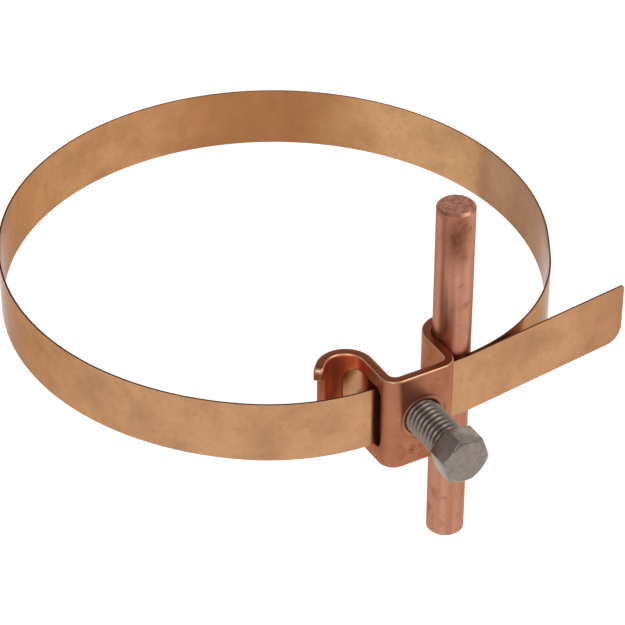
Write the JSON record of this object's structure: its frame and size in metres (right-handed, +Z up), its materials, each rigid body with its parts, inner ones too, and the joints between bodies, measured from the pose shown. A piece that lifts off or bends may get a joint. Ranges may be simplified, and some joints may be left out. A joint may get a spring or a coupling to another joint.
{
  "type": "downpipe conductor holder",
  "caption": "Springy metal strip looped round a downpipe and drawn through a bent slotted bracket, whose bolt clamps a round lightning conductor in a hook.",
  "frame": {"origin": "centre of the loop, where the downpipe's axis passes, at mid height of the band", "axes": "+Z up along the downpipe; -Y out from the pipe toward the bolt's head; +X toward the conductor and the free tail"},
  "size_m": [0.118, 0.1387, 0.0822],
  "materials": {
    "bronze_strip": "rolled spring bronze, slightly dull",
    "copper_sheet": "rolled copper sheet, bright at the bends",
    "stainless_steel": "plain stainless steel",
    "copper_rod": "drawn copper, slightly tarnished"
  },
  "bodies": {
    "clamp": {"band": "bronze_strip", "bracket": "copper_sheet"},
    "bolt": {"bolt": "stainless_steel"},
    "conductor": {"conductor": "copper_rod"}
  },
  "joints": [
    {"name": "bolt_screw", "type": "slide", "parent": "clamp", "child": "bolt", "axis": [0, -1, 0], "range_m": [-0.0002, 0.0035]},
    {"name": "conductor_slide", "type": "slide", "parent": "clamp", "child": "conductor", "axis": [0, 0, 1], "range_m": [-0.028, 0.028]}
  ]
}
